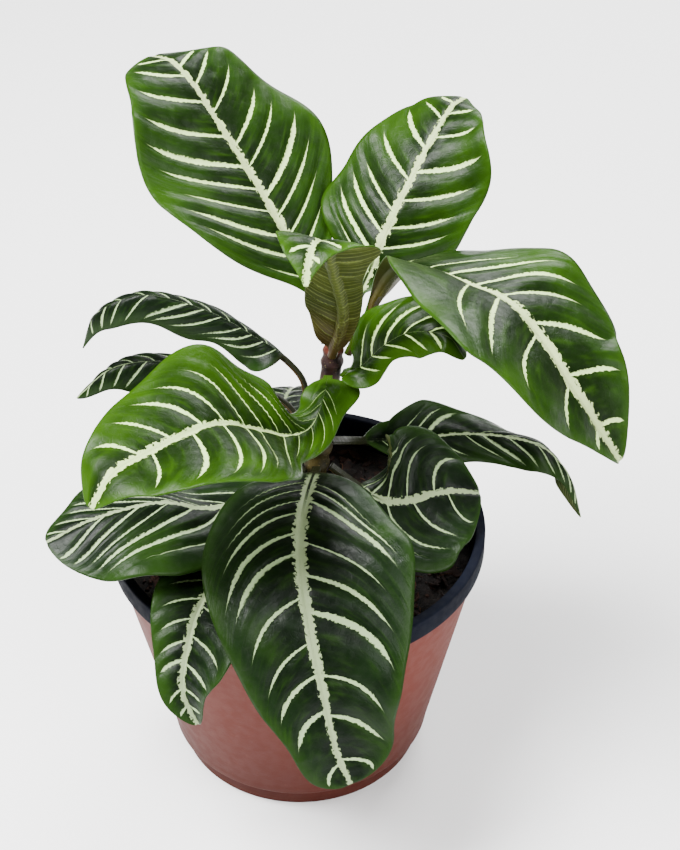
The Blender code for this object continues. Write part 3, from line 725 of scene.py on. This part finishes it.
def make_soil(material):
    """Build the soil body with a lumpy top, a gap's width clear of the pot."""
    bend = FOOT_HEIGHT + FOOT_BEND
    top_edge = wall_radius(SOIL_TOP) - WALL - GAP
    bend_edge = WALL_FOOT_RADIUS - WALL - GAP
    foot_edge = FOOT_RADIUS - WALL - GAP
    profile = [
        (0, FLOOR + GAP), (foot_edge, FLOOR + GAP),
        (foot_edge, FOOT_HEIGHT + STEP_BOTTOM + GAP),
        (bend_edge - STEP_TUCK, FOOT_HEIGHT + STEP_TOP + GAP),
        (bend_edge, bend + GAP), (top_edge, SOIL_TOP),
    ]
    for k in range(SOIL_RINGS + 1):
        profile.append(((top_edge - SOIL_EDGE) * (1 - k / SOIL_RINGS), SOIL_TOP + SOIL_SKIN))
    mesh = turned(profile, SOIL_STEPS)
    for vert in mesh.verts:
        if vert.co.z > SOIL_TOP + SOIL_SKIN / 2:
            vert.co.z = soil_height(vert.co.x, vert.co.y)
    piece = finished("potting_mix", mesh, [material], "soil")


def soil_height(x, y):
    """Return the height of the soil's lumpy top at a place."""
    lump = noise.fractal(Vector((x, y, 0)) * LUMP_SCALE, 1.0, 2.0, 4)
    grain = noise.noise(Vector((x, y, GRAIN_LAYER)) * GRAIN_SCALE)
    return SOIL_TOP + SOIL_LIFT + LUMP_HEIGHT * lump + GRAIN_HEIGHT * grain


def make_flakes(material):
    """Scatter thin bark flakes and crumbs on the soil, each a bent, ragged chip."""
    random = np.random.default_rng(SEED)
    mesh = bmesh.new()
    inner = wall_radius(SOIL_TOP) - WALL - FLAKE_MARGIN
    stem_x, stem_y = STEM_ROUTE[0][:2]
    for kind in [FLAKES] * FLAKES["count"] + [CRUMBS] * CRUMBS["count"]:
        radius = inner * math.sqrt(random.uniform(0.005, 1))
        angle = random.uniform(0, 2 * math.pi)
        x, y = radius * math.cos(angle), radius * math.sin(angle)
        length = random.uniform(*kind["length"])
        width = length * random.uniform(*kind["width"])
        thick = random.uniform(*kind["thick"])
        turn = Matrix.Rotation(random.uniform(0, 2 * math.pi), 4, "Z")
        tilt = Matrix.Rotation(random.normal(0, CHIP_TILT), 4, "X") @ Matrix.Rotation(
            random.normal(0, CHIP_TILT), 4, "Y")
        ragged = random.uniform(*CHIP_RAGGED, CHIP_DRAWS)
        if math.hypot(x - stem_x, y - stem_y) < STEM_CLEARANCE + length / 2:
            continue
        place = Matrix.Translation((x, y, soil_height(x, y) + thick * CHIP_RISE))
        chip = bmesh.ops.create_cone(
            mesh, cap_ends=True, segments=CHIP_SIDES, radius1=0.5, radius2=CHIP_TOP, depth=1)
        for i, vert in enumerate(chip["verts"]):
            vert.co.x *= length * ragged[i]
            vert.co.y *= width * ragged[i + CHIP_SHIFT]
            vert.co.z *= thick
            vert.co.z += CHIP_BEND * vert.co.x ** 2
            vert.co = place @ turn @ tilt @ vert.co
    bmesh.ops.recalc_face_normals(mesh, faces=mesh.faces[:])
    piece = finished("bark_flakes", mesh, [material], "soil")
    piece.data.shade_flat()


def make_fibres(material):
    """Lay short bent coir fibres on the soil, each a thin strand with flat sides."""
    random = np.random.default_rng(SEED + 1)
    mesh = bmesh.new()
    inner = wall_radius(SOIL_TOP) - WALL - FIBRE_MARGIN
    for _ in range(FIBRES):
        radius = inner * math.sqrt(random.uniform(0.02, 1))
        angle = random.uniform(0, 2 * math.pi)
        x, y = radius * math.cos(angle), radius * math.sin(angle)
        heading = random.uniform(0, 2 * math.pi)
        turn = random.normal(0, FIBRE_TURN)
        reach = random.uniform(*FIBRE_STEP)
        thick = random.uniform(*FIBRE_RADIUS)
        loops = []
        for i in range(FIBRE_STEPS):
            heading += turn
            x += reach * math.cos(heading)
            y += reach * math.sin(heading)
            if math.hypot(x, y) > inner + FIBRE_STRAY:
                break
            arch = FIBRE_LIFT + FIBRE_ARCH * math.sin(math.pi * i / (FIBRE_STEPS - 1))
            centre = Vector((x, y, soil_height(x, y) + arch))
            aim = Matrix.Rotation(heading, 4, "Z") @ Matrix.Rotation(math.pi / 2, 4, "Y")
            ring = bmesh.ops.create_circle(
                mesh, segments=FIBRE_SIDES, radius=thick,
                matrix=Matrix.Translation(centre) @ aim)
            loops.append(list({edge for vert in ring["verts"] for edge in vert.link_edges}))
        for one, two in zip(loops, loops[1:]):
            bmesh.ops.bridge_loops(mesh, edges=one + two)
    ends = [edge for edge in mesh.edges if edge.is_boundary]
    bmesh.ops.holes_fill(mesh, edges=ends)
    bmesh.ops.recalc_face_normals(mesh, faces=mesh.faces[:])
    piece = finished("coir_fibres", mesh, [material], "soil")


# Finishes

class Finish:
    """A material whose nodes are added one by one, each returned as its output."""

    def __init__(self, name, **values):
        self.material = bpy.data.materials.new(name)
        self.material.use_nodes = True
        self.tree = self.material.node_tree
        self.shader = self.tree.nodes["Principled BSDF"]
        for key, value in values.items():
            self.shader.inputs[key.replace("_", " ")].default_value = value

    def node(self, kind, inputs=(), output=0, **settings):
        """Add a node, set its options, feed its inputs and return one of its outputs."""
        node = self.tree.nodes.new("ShaderNode" + kind)
        for key, value in settings.items():
            setattr(node, key, value)
        for key, value in dict(inputs).items():
            if isinstance(value, bpy.types.NodeSocket):
                self.tree.links.new(value, node.inputs[key])
            else:
                node.inputs[key].default_value = value
        return node.outputs[output]

    def maths(self, operation, *values):
        """Work out a sum, product or other operation on numbers."""
        return self.node("Math", dict(enumerate(values)), operation=operation)

    def ramp(self, value, low, high, start=0.0, end=1.0):
        """Turn a value from low..high smoothly into start..end."""
        return self.node("MapRange", {0: value, 1: low, 2: high, 3: start, 4: end},
                         interpolation_type="SMOOTHSTEP")

    def mix(self, share, first, second):
        """Mix two colours."""
        return self.node("Mix", {0: share, 6: first, 7: second}, output=2, data_type="RGBA")

    def noise(self, scale, detail=3.0, vector=None, output=0):
        """Add noise at a scale per metre, in the object's own coordinates."""
        vector = vector or self.coordinates()
        return self.node("TexNoise", {"Vector": vector, "Scale": scale, "Detail": detail},
                         output=output)

    def coordinates(self):
        """Return the object's own coordinates."""
        return self.node("TexCoord", output=3)

    def place(self, name):
        """Return a named place on the piece, such as the distance to a leaf's margin."""
        return self.node("Attribute", output=2, attribute_name=name)

    def colour(self, value):
        """Set the surface colour."""
        self.tree.links.new(value, self.shader.inputs["Base Color"])

    def roughness(self, value):
        """Set the roughness."""
        self.tree.links.new(value, self.shader.inputs["Roughness"])

    def bump(self, height, depth, strength=1.0):
        """Raise the surface by a height in metres."""
        normal = self.node("Bump", {"Height": height, "Distance": depth, "Strength": strength})
        self.tree.links.new(normal, self.shader.inputs["Normal"])


def paint(red, green, blue):
    """Return the linear colour of an sRGB one given from 0 to 255."""
    linear = [((v / 255 + 0.055) / 1.055) ** 2.4 if v > 10 else v / 255 / 12.92
              for v in (red, green, blue)]
    return (*linear, 1.0)


def vein_marks(finish, width, fade):
    """Return how far a point is inside a pale side vein, and inside the midrib, from 0 to 1."""
    number = finish.place("vein")
    across = finish.maths("ABSOLUTE", finish.place("across"))
    share = finish.place("share")
    reach = finish.place("reach")
    # Distance in mm to the nearest side vein, and a number from 0 to 1 by chance for each vein
    turned_number = finish.maths("FRACT", finish.maths("ADD", number, 0.5))
    offset = finish.maths("ABSOLUTE", finish.maths("SUBTRACT", turned_number, 0.5))
    distance = finish.maths("MULTIPLY", offset, finish.place("spacing"))
    whole = finish.maths("ROUND", number)
    chance = finish.node("TexWhiteNoise", {"W": whole}, noise_dimensions="1D")
    # A side vein's half width in mm: it swells along its run, has a ragged edge, is bolder or
    # finer by chance, and narrows to its end short of the margin
    swell = finish.maths("MULTIPLY_ADD", reach, 2.9, 0.35)
    swell = finish.maths("POWER", finish.maths("MAXIMUM", finish.maths("SINE", swell), 0.0), 0.7)
    teeth = finish.ramp(finish.noise(900, 2.0), 0.3, 0.7, 0.7, 1.2)
    half = finish.maths("MULTIPLY", finish.maths("MULTIPLY", swell, width), teeth)
    half = finish.maths("MULTIPLY", half, finish.ramp(chance, 0.0, 1.0, 0.7, 1.2))
    half = finish.maths("MULTIPLY", half, finish.place("bold"))
    past = finish.maths("SUBTRACT", reach, finish.maths("MULTIPLY_ADD", chance, 0.14, 0.74))
    half = finish.maths("MULTIPLY", half, finish.ramp(past, 0.02, -0.2))
    inside = finish.ramp(finish.maths("SUBTRACT", half, distance), -0.1, 0.22)
    inside = finish.maths("MULTIPLY", inside, finish.ramp(past, 0.02, -0.05))
    # The midrib is ragged too. Near the blade's base its groove stays green.
    ragged = finish.ramp(finish.noise(650, 3.0), 0.35, 0.65, 0.6, 1.25)
    midrib_half = finish.maths("MULTIPLY", finish.place("midrib"), ragged)
    midrib = finish.ramp(finish.maths("SUBTRACT", midrib_half, across), -0.1, fade)
    groove = finish.maths("MULTIPLY", finish.ramp(across, 0.8, 0.3), finish.ramp(share, 0.25, 0.1))
    midrib = finish.maths("MULTIPLY", midrib, finish.maths("SUBTRACT", 1.0, groove))
    midrib = finish.maths("MULTIPLY", midrib, finish.ramp(share, 0.0, 0.05))
    return inside, midrib


def leaf_upper(name, dark, light, new, vein, midrib, stalk):
    """The glossy upper side: dark green with pale veins, paler towards the margin, with painted
    light and shade on its puckers.
    """
    finish = Finish(name, Specular_IOR_Level=0.1)
    inside, middle = vein_marks(finish, UPPER_VEIN, UPPER_FADE)
    reach = finish.place("reach")
    puckers = finish.noise(85, 2.0)
    # The puckers' noise also paints the green: lighter on the raised puckers and darker in their
    # hollows, as painted light and shade. Reach makes the green paler towards the margin, which is
    # the leaf's own colour.
    cloud = finish.maths("MULTIPLY_ADD", puckers, 1.4, reach)
    green = finish.mix(finish.ramp(cloud, 0.8, 1.7), dark, light)
    lines = finish.node("CombineXYZ", {0: finish.maths("MULTIPLY", finish.place("vein"), 5.0),
                                       1: finish.maths("MULTIPLY", reach, 3.0)})
    streaks = finish.noise(1.0, 4.0, lines)
    green = finish.mix(finish.ramp(streaks, 0.45, 0.75, 0.0, 0.4), green, new)
    edge = finish.ramp(finish.place("edge"), 6.0, 0.0, 0.0, 0.5)
    green = finish.mix(edge, green, new)
    patches = finish.maths("MULTIPLY", finish.ramp(finish.noise(28, 2.0), 0.5, 0.68, 0.0, 0.6),
                         finish.ramp(reach, 0.15, 0.7))
    green = finish.mix(patches, green, new)
    green = finish.mix(finish.ramp(finish.place("share"), 0.0, 0.03), stalk, green)
    pale = finish.mix(middle, vein, midrib)
    marks = finish.maths("MAXIMUM", inside, middle)
    finish.colour(finish.mix(finish.maths("MULTIPLY", marks, 0.95), green, pale))
    finish.roughness(finish.ramp(finish.noise(500, 2.0), 0.2, 0.8, 0.3, 0.45))
    cells = finish.node("TexVoronoi", {"Vector": finish.coordinates(), "Scale": 420.0},
                        feature="DISTANCE_TO_EDGE")
    height = finish.maths("MULTIPLY_ADD", puckers, 1.1, finish.ramp(cells, 0.0, 0.12, 0.0, 0.02))
    height = finish.maths("MULTIPLY_ADD", streaks, 0.2, height)
    height = finish.maths("MULTIPLY_ADD", marks, -0.2, height)
    finish.bump(height, 0.001)
    return finish.material


def leaf_under(name, dull, pale, line):
    """The matt underside: dull green with thin pale veins close together."""
    finish = Finish(name, Specular_IOR_Level=0.2)
    inside, middle = vein_marks(finish, UNDER_VEIN, UNDER_FADE)
    number = finish.maths("MULTIPLY", finish.place("vein"), 5.0)
    offset = finish.maths("ABSOLUTE", finish.maths("SUBTRACT", finish.maths("FRACT", number), 0.5))
    fine = finish.ramp(offset, 0.34, 0.48)
    base = finish.mix(finish.ramp(finish.noise(60, 4.0), 0.3, 0.7), dull, pale)
    base = finish.mix(finish.maths("MULTIPLY", fine, 0.45), base, line)
    base = finish.mix(finish.ramp(finish.place("share"), 0.3, 0.0, 0.0, 0.6), base,
                      paint(*UNDER_BASE))
    marks = finish.maths("MAXIMUM", inside, finish.maths("MULTIPLY", middle, 0.4))
    finish.colour(finish.mix(finish.maths("MULTIPLY", marks, 0.4), base, line))
    finish.roughness(finish.ramp(finish.noise(400, 2.0), 0.2, 0.8, 0.45, 0.6))
    finish.bump(finish.maths("ADD", marks, finish.maths("MULTIPLY", fine, 0.5)), 0.0003, 0.7)
    return finish.material


def stem_bark():
    """Stem: olive brown, purple under the top leaves and red at the top, with corky dots."""
    finish = Finish("stem_bark", Specular_IOR_Level=0.15)
    height = finish.node("SeparateXYZ", {"Vector": finish.coordinates()}, output=2)
    mottle = finish.ramp(finish.noise(160, 4.0), 0.35, 0.65)
    low = finish.mix(mottle, paint(30, 28, 12), paint(58, 50, 22))
    olive = finish.mix(mottle, paint(62, 54, 22), paint(92, 80, 38))
    purple = finish.mix(mottle, paint(26, 14, 14), paint(48, 28, 22))
    red = finish.mix(mottle, paint(64, 22, 12), paint(92, 46, 24))
    bark = finish.mix(finish.ramp(height, 0.146, 0.156), low, olive)
    bark = finish.mix(finish.ramp(height, 0.172, 0.180), bark, purple)
    bark = finish.mix(finish.ramp(height, 0.186, 0.190), bark, red)
    dots = finish.node("TexVoronoi", {"Vector": finish.coordinates(), "Scale": 700.0})
    spots = finish.ramp(dots, 0.25, 0.12)
    finish.colour(finish.mix(finish.maths("MULTIPLY", spots, 0.5), bark, paint(104, 92, 56)))
    finish.roughness(finish.ramp(finish.noise(500, 2.0), 0.2, 0.8, 0.45, 0.65))
    finish.bump(finish.maths("ADD", finish.noise(900, 3.0), spots), 0.0002, 0.8)
    return finish.material


def terracotta_plastic():
    """Pot wall: dull terracotta plastic with painted shade making it a little darker low down, and
    faint scuffs.
    """
    finish = Finish("terracotta_plastic", Specular_IOR_Level=0.12)
    height = finish.node("SeparateXYZ", {"Vector": finish.coordinates()}, output=2)
    # Painted shade: the clay paint darkens towards the pot's foot.
    clay = finish.mix(finish.ramp(height, 0.0, 0.09), paint(64, 23, 14), paint(84, 31, 20))
    cloud = finish.ramp(finish.noise(28, 4.0), 0.3, 0.7)
    clay = finish.mix(finish.maths("MULTIPLY", cloud, 0.1), clay, paint(92, 40, 28))
    scuff = finish.ramp(finish.noise(380, 4.0), 0.62, 0.75)
    finish.colour(finish.mix(finish.maths("MULTIPLY", scuff, 0.15), clay, paint(110, 60, 44)))
    finish.roughness(finish.ramp(finish.noise(220, 3.0), 0.3, 0.7, 0.6, 0.68))
    finish.bump(finish.noise(1400, 3.0), 0.00008, 0.6)
    return finish.material


def dark_plastic():
    """Rim band and inside: matt blue-black plastic, dusty in places."""
    finish = Finish("dark_plastic", Specular_IOR_Level=0.06)
    dust = finish.ramp(finish.noise(90, 5.0), 0.45, 0.8)
    finish.colour(finish.mix(dust, paint(7, 10, 20), paint(13, 17, 28)))
    finish.roughness(finish.ramp(finish.noise(300, 3.0), 0.3, 0.7, 0.7, 0.85))
    finish.bump(finish.noise(1500, 3.0), 0.00008, 0.6)
    return finish.material


def bark_soil(name, dark, light, scale):
    """Potting mix: near-black brown grains of several sizes."""
    finish = Finish(name, Specular_IOR_Level=0.25)
    grains = finish.node("TexVoronoi", {"Vector": finish.coordinates(), "Scale": scale},
                         output=1)
    tint = finish.node("SeparateColor", {0: grains})
    base = finish.mix(tint, dark, light)
    finish.colour(finish.mix(finish.ramp(finish.noise(scale / 2, 4.0), 0.4, 0.7), base, dark))
    finish.roughness(finish.ramp(finish.noise(scale, 2.0), 0.2, 0.8, 0.75, 0.95))
    finish.bump(finish.noise(scale * 3, 4.0), 0.0006, 0.9)
    return finish.material


# Stage: pale floor, soft lights and the camera at the photograph's angle

def make_stage():
    """Lay a wide pale floor under the pot."""
    mesh = bmesh.new()
    bmesh.ops.create_grid(mesh, x_segments=2, y_segments=2, size=FLOOR_SIZE)
    data = bpy.data.meshes.new("floor")
    mesh.to_mesh(data)
    mesh.free()
    finish = Finish("floor_paper", Roughness=0.9)
    low, high = [(tone, tone, tone, 1.0) for tone in FLOOR_TONES]
    finish.colour(finish.mix(finish.noise(3, 2.0), low, high))
    data.materials.append(finish.material)
    floor = bpy.data.objects.new("floor", data)
    bpy.context.scene.collection.objects.link(floor)


def add_light(name, place, size, power):
    """Hang a soft square light, aimed at the plant."""
    data = bpy.data.lights.new(name, "AREA")
    data.shape = "SQUARE"
    data.size = size
    data.energy = power
    lamp = bpy.data.objects.new(name, data)
    lamp.location = place
    aim = Vector(LIGHT_TARGET) - Vector(place)
    lamp.rotation_euler = aim.to_track_quat("-Z", "Y").to_euler()
    bpy.context.scene.collection.objects.link(lamp)


def make_lights():
    """Light the plant softly from above, mostly from the upper left, with a pale room."""
    for name, light in LIGHTS.items():
        add_light(name, **light)
    world = bpy.data.worlds.new("pale_room")
    world.use_nodes = True
    room = world.node_tree.nodes["Background"]
    room.inputs["Color"].default_value = (1.0, 1.0, 1.0, 1.0)
    room.inputs["Strength"].default_value = ROOM_STRENGTH
    bpy.context.scene.world = world


def make_camera():
    """Set the camera where the photograph was taken from."""
    data = bpy.data.cameras.new("camera")
    data.lens = CAMERA_LENS
    data.sensor_width = SENSOR_WIDTH
    camera = bpy.data.objects.new("camera", data)
    camera.location = CAMERA_PLACE
    camera.rotation_euler = (math.radians(CAMERA_TILT), 0.0, math.radians(CAMERA_TURN))
    bpy.context.scene.collection.objects.link(camera)
    bpy.context.scene.camera = camera


def leaf_finishes():
    """Return the upper and the under finish of the dark, the middle and the bright leaves."""
    finishes = {}
    for tone, paints in LEAF_PAINTS.items():
        upper, under = [{part: paint(*colour) for part, colour in paints[side].items()}
                        for side in ("upper", "under")]
        finishes[tone] = [leaf_upper(f"leaf_{tone}_upper", **upper),
                          leaf_under(f"leaf_{tone}_under", **under)]
    return finishes


def main():
    finishes = leaf_finishes()
    for leaf in LEAVES:
        make_leaf(leaf, finishes)
    make_stem(stem_bark())
    make_pot(terracotta_plastic(), dark_plastic())
    make_soil(bark_soil("soil_mix", paint(10, 6, 4), paint(28, 18, 12), 500))
    make_flakes(bark_soil("bark_flakes", paint(18, 10, 8), paint(52, 30, 20), 120))
    make_fibres(bark_soil("coir", paint(50, 28, 16), paint(90, 56, 32), 300))
    make_stage()
    make_lights()
    make_camera()


main()
